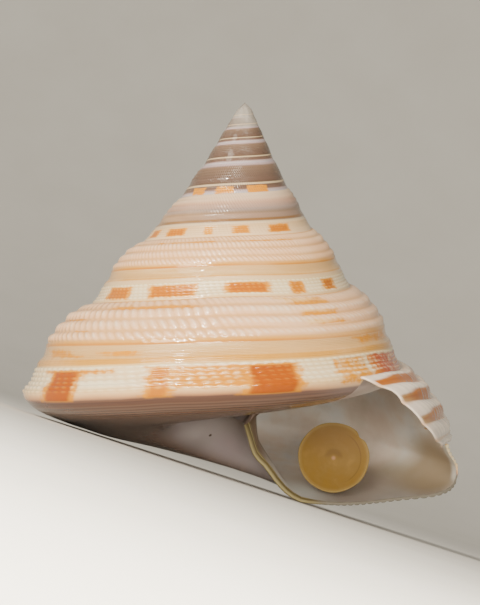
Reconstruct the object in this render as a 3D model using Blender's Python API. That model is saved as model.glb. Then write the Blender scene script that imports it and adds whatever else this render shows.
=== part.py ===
"""A slit shell at its real size: a conical sea snail's shell with a slit in its outer lip, and its horny lid.

The shell grows by one rule. Each turn of the spiral is the turn before it, made wider and deeper by a fixed
ratio about a point just over the tip. So one outline of the growing edge, and that rule, give the whole shell.
Lengths are in millimetres until the last step, and depths are measured down from that point.
"""

import math

import bmesh
import bpy
from mathutils import Vector

MM = 0.001

# Growth: how much wider and deeper each turn is than the one before, and the seam where it starts.
WIDTH_PER_TURN = 1.50
DEPTH_PER_TURN = 1.416
SEAM_RADIUS = 23.30
SEAM_DEPTH = 36.30
COLUMNS_PER_TURN = 40
STEP = 360.0 / COLUMNS_PER_TURN
CORDED_TURNS = 2.1
ALL_TURNS = 9.0
TIP_DEPTH = 1.45

# The growing edge, as (radius, depth, angle in degrees by which the edge leads there).
# The shoulder runs from the seam with the turn before down to the slit.
SHOULDER = [
    (SEAM_RADIUS, SEAM_DEPTH, 45.0),
    (25.85, 37.60, 41.0),
    (27.50, 39.20, 38.5),
    (28.95, 40.80, 35.5),
    (30.10, 42.40, 32.5),
    (30.95, 44.10, 28.5),
    (31.45, 45.50, 22.5),
]
# The flank runs from the slit to where the next turn would join.
FLANK = [
    (32.15, 46.55, -13.5),
    (32.85, 48.10, -14.5),
    (33.70, 49.80, -16.0),
    (34.40, 50.60, -17.0),
    (SEAM_RADIUS * WIDTH_PER_TURN, SEAM_DEPTH * DEPTH_PER_TURN, -18.0),
]
# Higher up the cone a whorl is flatter, with one row between its seams.
UPPER_WHORL = (29.20, 41.90, 33.0)
# The base runs round the rim and in towards the foot of the columella.
BASE = [
    (35.00, 52.25, -18.0),
    (34.30, 53.50, -18.0),
    (32.50, 54.70, -17.5),
    (30.00, 55.55, -16.0),
    (25.40, 56.30, -14.0),
    (21.00, 56.80, -12.0),
    (16.50, 57.00, -10.0),
    (13.30, 56.85, -8.0),
    (10.90, 56.40, -5.0),
    (8.80, 55.10, -2.0),
]
# The columella runs up the wall of the navel.
COLUMELLA = [
    (7.28, 53.34, 3.0),
    (5.45, 50.68, 10.0),
    (4.40, 49.40, 15.0),
    (3.45, 45.92, 28.0),
    (3.30, 43.40, 42.0),
]

# Spiral cords: the depth of each crest and of each furrow between them, and how far a crest stands up.
SHOULDER_CRESTS = [37.10, 38.71, 40.60, 42.70, 44.60]
SHOULDER_FURROWS = [37.87, 39.66, 41.65, 43.82]
FLANK_CRESTS = [47.35, 48.90, 50.40]
FLANK_FURROWS = [48.05, 49.70, 51.00]
SHOULDER_CORD = 0.30
FLANK_CORD = 0.18

# The wall, the columella's thickness, the slit and the hollow inside.
WALL = 0.70
COLUMELLA_WALL = 1.75
SLIT_BACK_TO = -31.5
HOLLOW_TURNS = 4.2
ROUGH_FROM_TURN = 0.9
ROUGH_STRIDE = 2

# The callus that plugs the navel, a low dome.
PLUG_DEPTH = 44.5
PLUG_RADIUS = 6.0
PLUG_FALL = 2.0
PLUG_BLEND = 1.2

# The horny lid: a shallow round dish that leans in the mouth.
LID_RADIUS = 4.95
LID_THICKNESS = 0.45
LID_DISH = 0.55
LID_CENTRE = (15.3, 4.2, -49.9)
LID_LEAN = 17.0
LID_SEGMENTS = 28

# How the axis leans, in degrees, when the shell rests on its rim at the left and the foot of its lip.
LEAN_FORWARD = 5.275
LEAN_LEFT = 14.785

WELD = 0.01
SHARP_OVER = 50.0
SHELL_COLOUR = (0.86, 0.69, 0.55)
HORN_COLOUR = (0.42, 0.22, 0.03)
RADIUS_RATE = math.log(WIDTH_PER_TURN) / math.tau
DEPTH_RATE = math.log(DEPTH_PER_TURN) / math.tau
SLIT_SHIFT = round((SHOULDER[-1][2] - FLANK[0][2]) / STEP)
SEAM_SHIFT = round((360.0 + FLANK[-1][2] - SHOULDER[0][2]) / STEP) + SLIT_SHIFT
SLIT_COLUMN = round((SHOULDER[-1][2] - SLIT_BACK_TO) / STEP)
ROOF_ROWS = slice(1, 9)


def clear_scene():
    for obj in list(bpy.data.objects):
        bpy.data.objects.remove(obj)


def place(row, columns_back=0.0):
    """A row of the growing edge, carried back along the spiral. Growth runs clockwise seen from above."""
    radius, depth, lead = row
    angle = math.radians(lead - STEP * columns_back)
    wide = radius * math.exp(RADIUS_RATE * angle)
    deep = depth * math.exp(DEPTH_RATE * angle)
    return Vector((wide * math.cos(angle), -wide * math.sin(angle), -deep))


def along(outline, depth):
    """The row of a wall's outline at a depth, and its outward normal."""
    for (r0, d0, a0), (r1, d1, a1) in zip(outline, outline[1:]):
        if depth <= d1:
            break
    share = (depth - d0) / (d1 - d0)
    normal = Vector((d1 - d0, r0 - r1)).normalized()
    return (r0 + share * (r1 - r0), depth, a0 + share * (a1 - a0)), normal


def corded(outline, crests, furrows, height):
    """The outline's rows with a ridge at each crest."""
    rows = [outline[0]]
    for depth in sorted(crests + furrows):
        (radius, depth, lead), normal = along(outline, depth)
        lift = height if depth in crests else 0.0
        rows.append((radius + lift * normal.x, depth + lift * normal.y, lead))
    return rows + [outline[-1]]


def inner(outline, thickness):
    """The outline moved inwards by the wall's thickness at each row."""
    rows = []
    for i, (radius, depth, lead) in enumerate(outline):
        before = outline[max(i - 1, 0)]
        after = outline[min(i + 1, len(outline) - 1)]
        normal = Vector((after[1] - before[1], before[0] - after[0])).normalized()
        rows.append((radius - thickness[i] * normal.x, depth - thickness[i] * normal.y, lead))
    return rows


def late(rows):
    """Rows under the slit, whose edge lags, numbered by the shoulder's columns."""
    return [(radius, depth, lead + SLIT_SHIFT * STEP) for radius, depth, lead in rows]


def turn_before(rows):
    """The same rows one turn earlier, as they lie in this turn's section."""
    lag = 360.0 - SEAM_SHIFT * STEP
    return [(radius / WIDTH_PER_TURN, depth / DEPTH_PER_TURN, lead + lag) for radius, depth, lead in rows]


def at_column(rows, column):
    return [place(row, column) for row in rows]


def sheet(bm, rows, first, last, stride=1):
    """A sheet of shell between two columns, every row of it carried back along the spiral."""
    grid = []
    for column in range(first, last + 1, stride):
        grid.append([bm.verts.new(point) for point in at_column(rows, column)])
    for near, far in zip(grid, grid[1:]):
        for i in range(len(rows) - 1):
            bm.faces.new((near[i], near[i + 1], far[i + 1], far[i]))


def shares(points):
    """How far along its chain each point lies, from 0 to 1."""
    lengths = [0.0]
    for before, after in zip(points, points[1:]):
        lengths.append(lengths[-1] + (after - before).length)
    return [length / lengths[-1] for length in lengths]


def lace(bm, left, right):
    """Triangles between two chains of points that need not have the same number of them."""
    a = [bm.verts.new(point) for point in left]
    b = [bm.verts.new(point) for point in right]
    along_a = shares(left) + [math.inf]
    along_b = shares(right) + [math.inf]
    i = j = 0
    while i < len(a) - 1 or j < len(b) - 1:
        on_left = along_a[i + 1] <= along_b[j + 1]
        corner = a[i + 1] if on_left else b[j + 1]
        bm.faces.new((a[i], corner, b[j]))
        i, j = (i + 1, j) if on_left else (i, j + 1)


def patch(bm, points):
    bm.faces.new([bm.verts.new(point) for point in points])


def build_spire(bm, shoulder, flank):
    """The outer wall: corded on the last turns, plain where the cords are finer than the facets."""
    whole = shoulder + late(flank)
    plain = [SHOULDER[0], UPPER_WHORL] + late(FLANK[-1:])
    corded_to = round(CORDED_TURNS * COLUMNS_PER_TURN)
    sheet(bm, shoulder, 0, SLIT_COLUMN)
    sheet(bm, late(flank), SLIT_SHIFT, SLIT_COLUMN)
    sheet(bm, whole, SLIT_COLUMN, corded_to)
    lace(bm, at_column(whole, corded_to), at_column(plain, corded_to + 1))
    sheet(bm, plain, corded_to + 1, round(ALL_TURNS * COLUMNS_PER_TURN))


def rough(rows):
    """Every third row, and the first again to close the loop."""
    kept = rows[::3]
    return kept + kept[:1]


def build_hollow(bm, upper, lower, roof):
    """The hollow behind the mouth. Its roof is the base of the turn before, and it narrows as the turns do."""
    loop = upper + lower + roof[::-1]
    fine_to = round(ROUGH_FROM_TURN * COLUMNS_PER_TURN)
    last = fine_to + ROUGH_STRIDE * round((HOLLOW_TURNS - ROUGH_FROM_TURN) * COLUMNS_PER_TURN / ROUGH_STRIDE)
    sheet(bm, roof[::-1] + upper, 0, SLIT_COLUMN)
    sheet(bm, lower + roof[-1:], SLIT_SHIFT, SLIT_COLUMN)
    sheet(bm, loop + loop[:1], SLIT_COLUMN, fine_to)
    lace(bm, at_column(loop + loop[:1], fine_to), at_column(rough(loop), fine_to + ROUGH_STRIDE))
    sheet(bm, rough(loop), fine_to + ROUGH_STRIDE, last, ROUGH_STRIDE)
    patch(bm, at_column(rough(loop)[:-1], last))
    foot = place(lower[-1], SLIT_SHIFT)
    for column in range(SLIT_SHIFT):
        patch(bm, [foot, place(roof[-1], column), place(roof[-1], column + 1)])


def build_lip(bm, shoulder, flank, upper, lower, roof):
    """The edge of the mouth, from the seam round to the columella, and the walls of the slit."""
    under = late(flank + BASE + COLUMELLA)
    lace(bm, at_column(shoulder, 0), at_column(upper, 0))
    lace(bm, at_column(under, SLIT_SHIFT), at_column(lower, SLIT_SHIFT))
    corner = turn_before(late(BASE[:1]))
    patch(bm, at_column([shoulder[0], upper[0], roof[0]] + corner, 0))
    patch(bm, [place(under[-1], SLIT_SHIFT), place(lower[-1], SLIT_SHIFT), place(roof[-1], 0)])
    sheet(bm, [shoulder[-1], upper[-1]], 0, SLIT_COLUMN)
    sheet(bm, [under[0], lower[0]], SLIT_SHIFT, SLIT_COLUMN)
    patch(bm, at_column([shoulder[-1], under[0], lower[0], upper[-1]], SLIT_COLUMN))


def close_holes(bm):
    """Caps on the tip and over the navel, each drawn in to a point on the axis."""
    edges = [edge for edge in bm.edges if edge.is_boundary]
    caps = bmesh.ops.holes_fill(bm, edges=edges, sides=0)["faces"]
    for cap in caps:
        depth = TIP_DEPTH if -cap.calc_center_median().z < SEAM_DEPTH / 2 else PLUG_DEPTH
        centre = bmesh.ops.poke(bm, faces=[cap])["verts"][0]
        centre.co = Vector((0.0, 0.0, -depth))


def plug_navel(bm):
    """Callus fills the navel up to a low dome, and meets its wall softly."""
    for vert in bm.verts:
        radius = math.hypot(vert.co.x, vert.co.y)
        if not vert.tag or radius > 2 * PLUG_RADIUS:
            continue
        dome = PLUG_DEPTH - PLUG_FALL * (radius / PLUG_RADIUS) ** 2
        gap = -vert.co.z - dome
        vert.co.z = -(dome + 0.5 * (gap + math.hypot(gap, PLUG_BLEND)))


def build_shell_mesh():
    bm = bmesh.new()
    shoulder = corded(SHOULDER, SHOULDER_CRESTS, SHOULDER_FURROWS, SHOULDER_CORD)
    flank = corded(FLANK, FLANK_CRESTS, FLANK_FURROWS, FLANK_CORD)
    around = FLANK + BASE + COLUMELLA
    thickness = [WALL] * (len(FLANK) + len(BASE) - 2) + [COLUMELLA_WALL] * (len(COLUMELLA) + 2)
    upper = inner(SHOULDER, [WALL] * len(SHOULDER))[1:]
    lower = late(inner(around, thickness))
    roof = turn_before(late(BASE[ROOF_ROWS]))

    sheet(bm, late(FLANK[-1:] + BASE + COLUMELLA), SLIT_SHIFT, SEAM_SHIFT)
    for vert in bm.verts:
        vert.tag = True
    build_spire(bm, shoulder, flank)
    build_hollow(bm, upper, lower, roof)
    build_lip(bm, shoulder, flank, upper, lower, roof)
    bmesh.ops.remove_doubles(bm, verts=bm.verts, dist=WELD)
    plug_navel(bm)
    close_holes(bm)
    bmesh.ops.recalc_face_normals(bm, faces=bm.faces)
    return finish_mesh(bm, "shell")


def build_lid_mesh():
    """A turned disc, hollowed a little on its outer face."""
    bm = bmesh.new()
    across = [0.0, 0.45, 0.8, 1.0]
    face = [(LID_RADIUS * share, LID_DISH * share * share) for share in across]
    back = [(radius, height - LID_THICKNESS) for radius, height in reversed(face)]
    verts = [bm.verts.new((radius, 0.0, height)) for radius, height in face + back]
    edges = [bm.edges.new(pair) for pair in zip(verts, verts[1:])]
    bmesh.ops.spin(
        bm,
        geom=verts + edges,
        axis=(0.0, 0.0, 1.0),
        cent=(0.0, 0.0, 0.0),
        dvec=(0.0, 0.0, 0.0),
        angle=math.tau,
        steps=LID_SEGMENTS,
        use_merge=True,
        use_duplicate=False,
    )
    bmesh.ops.remove_doubles(bm, verts=bm.verts, dist=WELD)
    bmesh.ops.recalc_face_normals(bm, faces=bm.faces)
    return finish_mesh(bm, "operculum")


def finish_mesh(bm, name):
    bmesh.ops.scale(bm, vec=Vector((MM, MM, MM)), verts=bm.verts)
    mesh = bpy.data.meshes.new(name)
    bm.to_mesh(mesh)
    bm.free()
    mesh.shade_smooth()
    mesh.set_sharp_from_angle(angle=math.radians(SHARP_OVER))
    return mesh


def material(name, colour, roughness):
    made = bpy.data.materials.new(name)
    made.use_nodes = True
    principled = made.node_tree.nodes["Principled BSDF"]
    principled.inputs["Base Color"].default_value = (*colour, 1.0)
    principled.inputs["Roughness"].default_value = roughness
    principled.inputs["Metallic"].default_value = 0.0
    return made


def add_part(name, mesh, finish, parent):
    obj = bpy.data.objects.new(name, mesh)
    mesh.materials.append(finish)
    obj.parent = parent
    bpy.context.scene.collection.objects.link(obj)
    return obj


def rest_on_floor(pose, shell):
    """Stands the leaning shell on the floor, with the middle of its box over the origin."""
    bpy.context.view_layer.update()
    points = [shell.matrix_world @ vert.co for vert in shell.data.vertices]
    low = Vector(map(min, zip(*points)))
    high = Vector(map(max, zip(*points)))
    pose.location = (-(low.x + high.x) / 2, -(low.y + high.y) / 2, -low.z)
    bpy.context.view_layer.update()


def main():
    clear_scene()
    pose = bpy.data.objects.new("resting_pose", None)
    bpy.context.scene.collection.objects.link(pose)
    pose.rotation_euler = (math.radians(LEAN_FORWARD), -math.radians(LEAN_LEFT), 0.0)

    pearl = material("glossy_aragonite", SHELL_COLOUR, 0.30)
    horn = material("operculum_horn", HORN_COLOUR, 0.45)
    shell = add_part("shell", build_shell_mesh(), pearl, pose)
    lid = add_part("operculum", build_lid_mesh(), horn, pose)
    lid.rotation_euler = (math.radians(90.0 - LID_LEAN), 0.0, 0.0)
    lid.location = Vector(LID_CENTRE) * MM
    rest_on_floor(pose, shell)


main()
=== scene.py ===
"""The looks of a slit shell: its corded and beaded wall, its pearly mouth and its horny lid.

The shell is grown, as the animal grows it. One outline of the growing edge is carried back along a spiral,
and each turn is a fixed ratio smaller than the one after it. Lengths are in millimetres until the finished
piece is put in its place, and depths are measured down from a point just over the tip.
"""

import math
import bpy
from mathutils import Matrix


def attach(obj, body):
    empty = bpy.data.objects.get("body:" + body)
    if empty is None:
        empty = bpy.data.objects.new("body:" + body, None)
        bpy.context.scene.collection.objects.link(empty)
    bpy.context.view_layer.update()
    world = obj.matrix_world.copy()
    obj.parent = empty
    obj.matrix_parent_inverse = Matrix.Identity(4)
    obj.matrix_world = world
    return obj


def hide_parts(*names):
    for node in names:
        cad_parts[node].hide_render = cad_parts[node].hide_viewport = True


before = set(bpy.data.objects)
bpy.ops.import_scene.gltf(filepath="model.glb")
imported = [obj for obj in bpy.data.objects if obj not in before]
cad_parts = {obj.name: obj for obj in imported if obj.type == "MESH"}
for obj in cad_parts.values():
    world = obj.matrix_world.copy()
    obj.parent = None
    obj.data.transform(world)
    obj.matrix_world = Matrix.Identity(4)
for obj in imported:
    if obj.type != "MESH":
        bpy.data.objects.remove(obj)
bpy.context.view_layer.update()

from types import SimpleNamespace

import bmesh
import bpy
import numpy as np
from bpy.props import FloatProperty, FloatVectorProperty, PointerProperty
from mathutils import Matrix, Vector

bl_info = {
    "name": "Slit Shell",
    "version": (1, 0, 0),
    "blender": (4, 5, 0),
    "location": "View3D > Sidebar > Shell",
    "description": "Grows a slit shell with its lid, and sets them on a pale stage",
    "category": "Object",
}

MM = 0.001
BODY = "root"

# Growth: how much wider and deeper each turn is than the one before.
WIDTH_PER_TURN = 1.50
DEPTH_PER_TURN = 1.416

# The growing edge, as (radius, depth, degrees by which the edge leads there). The stretch under the slit
# lags the shoulder by SLIT_LAG degrees, which its leads here leave out, so that the whole edge is one smooth
# line.
SLIT_LAG = 36.0
WALL_EDGE = [
    (23.30, 36.30, 45.0),
    (25.85, 37.60, 41.0),
    (27.50, 39.20, 38.5),
    (28.95, 40.80, 35.5),
    (30.10, 42.40, 32.5),
    (30.95, 44.10, 28.5),
    (31.45, 45.50, 22.5),
    (32.15, 46.55, 22.5),
    (32.85, 48.10, 21.5),
    (33.70, 49.80, 20.0),
    (34.40, 50.60, 19.0),
    (34.95, 51.40, 18.0),
]
BASE_EDGE = [
    (35.00, 52.25, 18.0),
    (34.30, 53.50, 18.0),
    (32.50, 54.70, 18.5),
    (30.00, 55.55, 20.0),
    (25.40, 56.30, 22.0),
    (21.00, 56.80, 24.0),
    (16.50, 57.00, 26.0),
    (13.30, 56.85, 28.0),
    (10.90, 56.40, 31.0),
    (8.80, 55.10, 34.0),
    (7.28, 53.34, 39.0),
    (5.45, 50.68, 46.0),
    (4.40, 49.40, 51.0),
    (3.45, 45.92, 64.0),
    (3.30, 43.40, 78.0),
]

# Places on the growing edge are shares of the wall's height: 0 at the seam with the turn before, 1 where the
# next turn joins, and beyond that the way round the rim and in over the base.
SEAM = 0.0
JOIN = 1.0
# The smooth band that fills the old slit. Towards the lip it narrows and moves down to the open slit, which
# flares.
BAND_TOP = 0.49
BAND_FOOT = 0.61
MID_BAND = 0.5 * (BAND_TOP + BAND_FOOT)
SLIT_TOP = 0.655
SLIT_FOOT = 0.690
SLIT_FLARE = 0.045
# The keel round the rim, the threads of the base, the end of the mouth's roof, and the edge's end in the
# navel.
KEEL_FROM = 1.03
RIM_FOOT = 1.151
THREADS_FROM = 1.17
THREADS_TO = 2.58
THREADS = 22
ROOF_TO = 2.742
EDGE_END = 3.79
# How far apart two places are for the slope between them.
PLACE_STEP = 0.01

# Degrees of growth behind the upper lip: steps between columns, and where things begin and end.
STEP = 0.9
BASE_STEP = 3 * STEP
DEEP_STEP = 4.0
SLIT_END = 45.0
BAND_NARROWS = 170.0
SEAM_LAG = 333.0
MOUTH_DEPTH = 250.0
SPIRE_END = 3060.0
# The whorls' sides turn from round to flat over this stretch, by this share.
FLAT_FROM, FLAT_TO = 500.0, 1000.0
FLAT_SHARE = 0.6

# The lip: degrees by which its shoulder bends back and over how many, how its cords crowd towards the seam,
# flatten and flute the inside, and the tiny steps in which its edge is rounded over.
LIP_BEND = 3.5
BEND_REACH = 24.0
FLARE_REACH = 30.0
LIP_SQUEEZE = 0.35
SQUEEZE_REACH = 60.0
LIP_FLAT = 0.5
FLUTED = 12.0
THIN_REACH = 25.0
LIP_STEP = 0.01
LIP_TURNS = 6

# Beads: how many degrees each takes on the last turn and on older ones, how round the gaps are, how smooth
# the cords are by the lip, and where the shoulder's are worn.
BEAD = 4 * STEP
OLD_BEAD = 3 * STEP
BEAD_CHANGE = 302.4
BEAD_ROUND = 1.3
SMOOTH_FROM, SMOOTH_TO = 60.0, 170.0
SMOOTH_SHARE = 0.86
SHOULDER_CORDS = 4
WORN_FROM, WORN_TO = 290.0, 420.0
WORN_SOFT = 30.0
WORN_SHARE = 0.6
COVERED_FROM = 0.97
COVERED_REACH = 12.0

# Low relief, in millimetres: the hollow of the band, the keel, the threads and what the lip adds to them,
# and the dent in the base behind the lip's foot.
BAND_HOLLOW = 0.10
KEEL_HEIGHT = 0.08
THREAD_HEIGHT = 0.06
THREAD_AT_LIP = 0.16
DENT = 0.5
DENT_BEHIND = 11.0
DENT_REACH = 6.0

# The callus that plugs the navel, a low dome, and the point of the tip.
PLUG_DEPTH = 44.5
PLUG_RADIUS = 6.0
PLUG_FALL = 2.0
PLUG_BLEND = 1.2
TIP_DEPTH = 1.45
# A hole's centre nearer to the axis than this is closed with a point, at the tip where it lies above this
# depth.
NEAR_AXIS = 2.5
TIP_ABOVE = 20.0
WELD = 0.004

# How the shell rests: its axis leans forward and to the left, and the point over its tip lies here.
LEAN_FORWARD = 5.275
LEAN_LEFT = 14.785
OVER_TIP = (-13.8617, -6.9299, 51.2196)

# How the shell departs from its growth rule: how stout it is at each depth, and a few soft pushes, each as
# centre, reach and shift.
GIRTH = np.array([
    (0.0, 1.000), (5.5, 0.995), (9.0, 0.950), (13.5, 0.950), (17.0, 0.965), (19.5, 0.990), (21.5, 1.012),
    (25.0, 1.017), (30.0, 1.022), (36.0, 1.012), (41.0, 1.000), (60.0, 1.000),
])
PUSHES = [
    ((30.5, -8.0, -46.5), 7.0, (-1.0, 0.0, 0.0)),
    ((27.5, 0.0, -38.5), 3.2, (-0.85, 0.0, 0.0)),
    ((29.9, 1.6, -41.3), 1.6, (-0.3, 0.0, 0.0)),
    ((31.6, 0.5, -45.6), 2.2, (-0.65, 0.0, 0.0)),
    ((28.0, 10.5, -54.6), 4.8, (3.0, 0.0, 0.0)),
    ((-26.5, 0.0, -47.5), 5.0, (0.8, 0.0, 0.7)),
    ((0.0, -19.0, -28.0), 8.0, (0.0, 0.0, 0.35)),
    ((-3.8, 5.6, -47.6), 2.0, (0.1, -0.9, -0.3)),
    ((-23.0, 6.0, -47.5), 4.0, (0.0, 0.0, 0.3)),
    ((-14.8, 9.0, -49.3), 6.0, (0.0, 0.0, -0.4)),
    ((-6.0, 13.0, -51.0), 6.0, (0.0, 0.0, -0.45)),
    ((2.0, 12.0, -52.3), 6.0, (0.0, 0.0, -0.6)),
    ((6.8, 7.9, -53.9), 4.0, (0.0, 0.0, -0.3)),
]
# The rim is a little higher along the front: where along it, in degrees of growth, how far about, and by how
# much.
RIM_LIFTED = range(252, 350, 19)
RIM_LIFT_SHARES = (0.4, 1.0, 1.0, 1.0, 1.0, 1.0)
RIM_LIFT_REACH = 5.5
RIM_LIFT = 0.62


def rim_point(back):
    """A point of the rim by the growth rule alone."""
    radius, depth, lead = WALL_EDGE[-1]
    turns = (lead - back) / 360.0
    wide, angle = radius * WIDTH_PER_TURN**turns, turns * math.tau
    return (wide * math.cos(angle), -wide * math.sin(angle), -depth * DEPTH_PER_TURN**turns)


PUSHES += [
    (rim_point(back), RIM_LIFT_REACH, (0.0, 0.0, RIM_LIFT * share))
    for back, share in zip(RIM_LIFTED, RIM_LIFT_SHARES)
]


def hex_colour(text):
    """An sRGB hex colour as linear red, green, blue and alpha."""
    parts = [int(text[i : i + 2], 16) / 255.0 for i in (0, 2, 4)]
    linear = [part / 12.92 if part <= 0.04045 else ((part + 0.055) / 1.055) ** 2.4 for part in parts]
    return (*linear, 1.0)


class ShellSizes(bpy.types.PropertyGroup):
    """Sizes that the shell is grown with"""

    cord: FloatProperty(
        name="Cord height", description="How far a beaded cord stands up", default=0.46 * MM, unit="LENGTH"
    )
    groove: FloatProperty(
        name="Bead groove", description="Share of a cord's height cut away between two beads", default=0.92
    )
    wall: FloatProperty(
        name="Wall", description="Thickness of the wall", default=0.70 * MM, unit="LENGTH"
    )
    lip: FloatProperty(
        name="Lip", description="Thickness of the lip's edge", default=0.34 * MM, unit="LENGTH"
    )
    columella: FloatProperty(
        name="Columella", description="Thickness of the columella's edge", default=0.85 * MM, unit="LENGTH"
    )


def tint(name, description, colour):
    """A colour property with an sRGB hex colour as its default."""
    plain = hex_colour(colour)
    return FloatVectorProperty(
        name=name, description=description, default=plain, subtype="COLOR", size=4, min=0.0, max=1.0
    )


class ShellColours(bpy.types.PropertyGroup):
    """Colours that the shell and its lid are painted with"""

    orange: tint("Orange", "The blocks over each seam", "B46208")
    deep: tint("Deep orange", "Where a block is solid", "A04C02")
    golden: tint("Golden", "Where a block is thin", "DE981C")
    # The crests' colour is a painted highlight on the blocks' beads.
    crest: tint("Crests", "Beads that stand out of a block", "F2BC44")
    stripe: tint("Lip stripes", "The lower side of each cord at the lip", "AE6208")
    # The furrows' tint is partly the shell's own golden lines and partly painted shade between the cords.
    furrow: tint("Furrows", "The wet-looking furrows between cords", "C48A34")
    tip: tint("Tip", "The bleached first turns", "A0988F")
    # The beige patch is partly the wall's colour showing through and partly painted shade.
    beige: tint("Beige", "The patch inside the lip", "94836A")
    horn: tint("Horn", "The lid", "765A22")


# Cords of the wall: (furrow above, crest, furrow below, height, groove, how much of it is left far from the
# mouth).
CORDS = [
    (0.000, 0.042, 0.090, 0.75, 1.0, 1.0),
    (0.090, 0.145, 0.205, 1.00, 1.0, 1.0),
    (0.205, 0.270, 0.335, 1.00, 1.0, 1.0),
    (0.335, 0.395, 0.445, 0.95, 1.0, 1.0),
    (0.445, 0.467, 0.490, 0.95, 0.6, 0.3),
    (0.610, 0.660, 0.725, 0.35, 0.3, 1.0),
    (0.725, 0.750, 0.778, 0.55, 0.8, 1.0),
    (0.778, 0.803, 0.830, 0.55, 0.8, 1.0),
    (0.830, 0.855, 0.880, 0.50, 0.8, 1.0),
    (0.880, 0.905, 0.930, 0.50, 0.8, 1.0),
    (0.930, 0.955, 0.980, 0.50, 0.8, 1.0),
    (0.980, 1.005, 1.030, 0.50, 0.7, 1.0),
]

# Rows of points on one cord, as shares of its width, at each level of detail.
CORD_SHARES = {
    5: (0.0, 0.17, 0.38, 0.62, 0.83),
    4: (0.0, 0.22, 0.5, 0.78),
    3: (0.0, 0.33, 0.67),
    2: (0.0, 0.5),
}
# Where each level of detail ends, its rows to a cord, and how many cords share a row.
LEVELS = [(702.0, 4, 1), (1062.0, 3, 1), (1422.0, 2, 1), (1782.0, 1, 1), (2142.0, 1, 2), (SPIRE_END, 1, 4)]
# Where the last turn ends, and the older ones begin to take fewer points.
LAST_TURN = 342.0


def along_edge(edge):
    """Each place's share of the way along the edge, in wall heights."""
    top, foot = WALL_EDGE[0][1], WALL_EDGE[-1][1]
    places = [(depth - top) / (foot - top) for _, depth, _ in WALL_EDGE]
    for before, after in zip(edge[len(WALL_EDGE) - 1 :], edge[len(WALL_EDGE) :]):
        places.append(places[-1] + math.hypot(after[0] - before[0], after[1] - before[1]) / (foot - top))
    return np.array(places)


EDGE = np.array(WALL_EDGE + BASE_EDGE)
PLACES = along_edge(EDGE)


def smooth_through(at, places, values):
    """A smooth curve through a few values, read at many places."""
    slopes = np.gradient(values, places)
    i = np.clip(np.searchsorted(places, at, side="right") - 1, 0, len(places) - 2)
    step = places[i + 1] - places[i]
    x = (at - places[i]) / step
    rise = values[i] * (1 + 2 * x) * (1 - x) ** 2 + values[i + 1] * x * x * (3 - 2 * x)
    return rise + step * (slopes[i] * x * (1 - x) ** 2 - slopes[i + 1] * x * x * (1 - x))


def ramp(x, start, end):
    """Goes smoothly from 0 at start to 1 at end."""
    share = np.clip((np.asarray(x, float) - start) / (end - start), 0.0, 1.0)
    return share * share * (3.0 - 2.0 * share)


def band_shift(across, back):
    """The place on the edge of a cord, which moves down towards the slit over the last third of a turn. At
    the very lip the shoulder's cords crowd up to the seam."""
    near = 1.0 - ramp(back, SLIT_END, BAND_NARROWS)
    top = BAND_TOP + near * (SLIT_TOP - BAND_TOP) - SLIT_FLARE * (1.0 - ramp(back, 0.0, FLARE_REACH))
    foot = BAND_FOOT + near * (SLIT_FOOT - BAND_FOOT)
    squeeze = 1.0 + LIP_SQUEEZE * (1.0 - ramp(back, 0.0, SQUEEZE_REACH))
    above = np.clip(across / BAND_TOP, 0.0, 1.0) ** squeeze * top
    within = top + (across - BAND_TOP) / (BAND_FOOT - BAND_TOP) * (foot - top)
    below = foot + (across - BAND_FOOT) / (JOIN - BAND_FOOT) * (JOIN - foot)
    shifted = np.where(across < BAND_TOP, above, np.where(across < BAND_FOOT, within, below))
    return np.where(across < JOIN, shifted, across)


def edge_at(place, back):
    """Radius, depth and lead of the growing edge. Far up the spire a whorl's side is flatter."""
    radius = smooth_through(place, PLACES, EDGE[:, 0])
    straight = EDGE[0, 0] + place * (WALL_EDGE[-1][0] - EDGE[0, 0])
    flatter = np.where(place < JOIN, FLAT_SHARE * ramp(back, FLAT_FROM, FLAT_TO), 0.0)
    radius = radius + flatter * (straight - radius)
    return radius, smooth_through(place, PLACES, EDGE[:, 1]), smooth_through(place, PLACES, EDGE[:, 2])


def settled(points):
    """Shapes the grown shell a little, the same for every sheet of it, so that they still meet."""
    depth = np.clip(-points[..., 2], GIRTH[0, 0], GIRTH[-1, 0] - WELD)
    stout = smooth_through(depth, GIRTH[:, 0], GIRTH[:, 1])
    points = points * np.stack([stout, stout, np.ones_like(stout)], axis=-1)
    moved = points.copy()
    for centre, reach, shift in PUSHES:
        away = np.linalg.norm(points - np.array(centre), axis=-1)
        moved += np.exp(-((away / reach) ** 2))[..., None] * np.array(shift)
    return moved


def grown(across, back, lift=0.0):
    """Points of the shell at places on its edge, degrees of growth behind the lip, and heights over the
    wall."""
    place = band_shift(across, back)
    radius, depth, lead = edge_at(place, back)
    r0, d0, _ = edge_at(np.clip(place - PLACE_STEP, 0.0, EDGE_END), back)
    r1, d1, _ = edge_at(np.clip(place + PLACE_STEP, 0.0, EDGE_END), back)
    length = np.hypot(r1 - r0, d1 - d0)
    radius = radius + lift * (d1 - d0) / length
    depth = depth - lift * (r1 - r0) / length
    shoulder = ramp(across, 0.02, 0.2) * (across < MID_BAND)
    bend = LIP_BEND * shoulder * (1.0 - ramp(back, 0.0, BEND_REACH))
    turns = (lead - bend - back) / 360.0
    angle = turns * math.tau
    wide = radius * WIDTH_PER_TURN**turns
    deep = depth * DEPTH_PER_TURN**turns
    return settled(np.stack([wide * np.cos(angle), -wide * np.sin(angle), -deep], axis=-1))


def chance(*numbers):
    """A number from 0 to 1 that looks random and is the same each run."""
    mixed = sum(np.asarray(n, float) * k for n, k in zip(numbers, (12.9898, 78.233, 37.719)))
    return np.mod(np.sin(mixed) * 43758.5453, 1.0)


def bead_phase(back):
    """Which bead, and how far through it. The beads are a little closer together on the earlier turns."""
    early = 1000.0 + (back - BEAD_CHANGE) / OLD_BEAD
    beads = np.where(back < BEAD_CHANGE, back / BEAD, early) + 1e-6
    return np.floor(beads), np.mod(beads, 1.0)


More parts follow.
